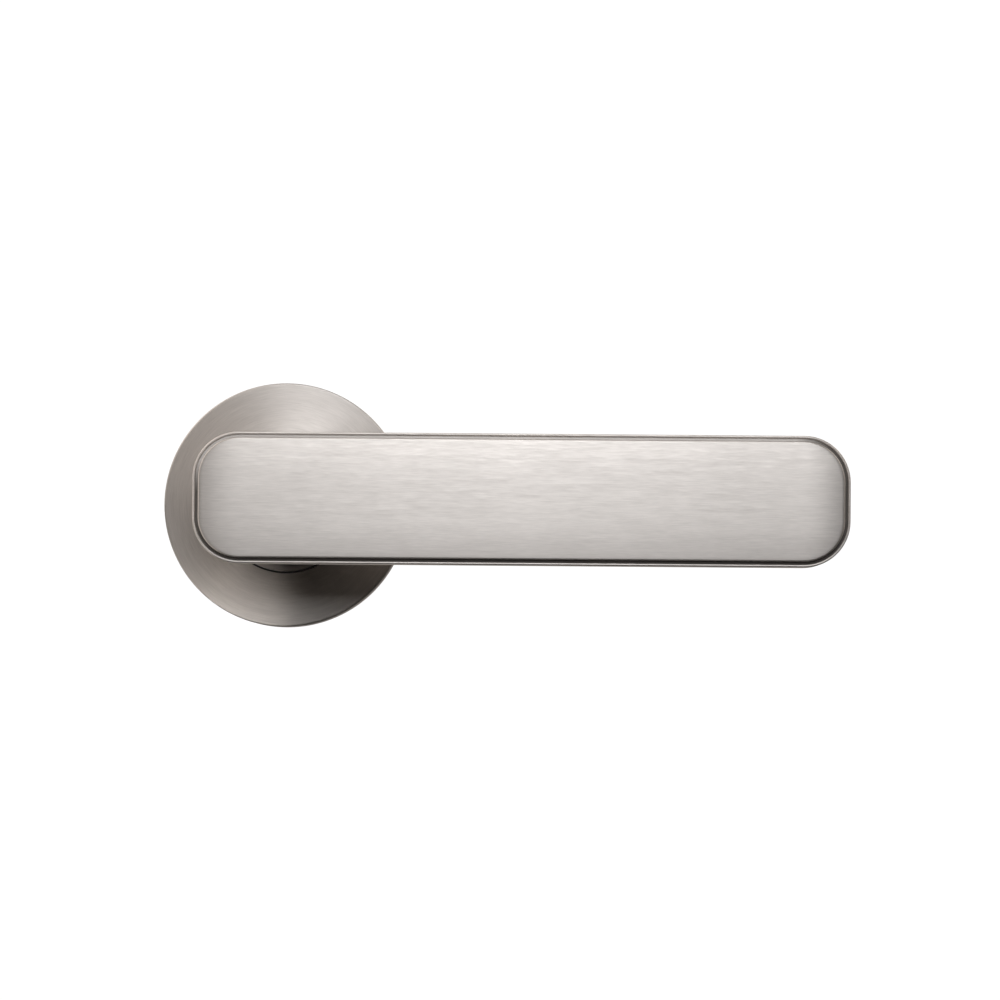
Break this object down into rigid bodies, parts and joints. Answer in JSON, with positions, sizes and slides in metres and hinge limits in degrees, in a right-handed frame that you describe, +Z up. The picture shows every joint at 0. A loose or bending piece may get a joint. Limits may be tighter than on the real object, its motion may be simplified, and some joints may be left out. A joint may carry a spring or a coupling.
{
  "type": "door lever handle",
  "caption": "Sprung door lever handle: a flat rounded bar lever with a framed face plate, on a round rose with a square spindle and bolts through the door.",
  "frame": {"origin": "the point where the spindle's axis meets the door's face", "axes": "+Y into the door along the spindle, +X along the lever towards its free end, +Z up"},
  "size_m": [0.1435, 0.1232, 0.052],
  "materials": {
    "satin_nickel": "satin nickel plate, fine straight brushing along the lever",
    "brushed_nickel": "brushed nickel plate, straight grain along the lever",
    "turned_nickel": "brushed nickel plate, circular grain round the spindle",
    "zinc_casting": "bare zinc die casting, matt",
    "plain_steel": "bright zinc-plated steel",
    "spring_steel": "dark drawn spring steel",
    "acetal": "natural white acetal",
    "dark_nylon": "dark nylon",
    "foam_tape": "dark double-sided foam tape"
  },
  "bodies": {
    "rose": {"base_plate": "zinc_casting", "stop_pins": "plain_steel", "spring_anchor_pin": "plain_steel", "bearing_bush": "acetal", "return_spring": "spring_steel", "rose_cover": "turned_nickel", "cover_snap_ring": "spring_steel", "cover_glide_ring": "dark_nylon", "through_bolts": "plain_steel"},
    "lever": {"neck": "satin_nickel", "neck_dowel": "plain_steel", "neck_screws": "plain_steel", "lever_body": "satin_nickel", "face_plate": "brushed_nickel", "face_plate_tape": "foam_tape", "grub_screw": "plain_steel", "spindle": "plain_steel", "spring_driver": "plain_steel", "circlip": "spring_steel", "thrust_washer": "acetal", "disc_spring": "spring_steel"}
  },
  "joints": [
    {"name": "lever_turn", "type": "hinge", "parent": "rose", "child": "lever", "pos_m": [0, 0, 0], "axis": [0, 1, 0], "range_deg": [0, 50], "stiffness_Nm_per_rad": 0.6, "springref_deg": -45.84, "deforming": ["return_spring"]}
  ]
}
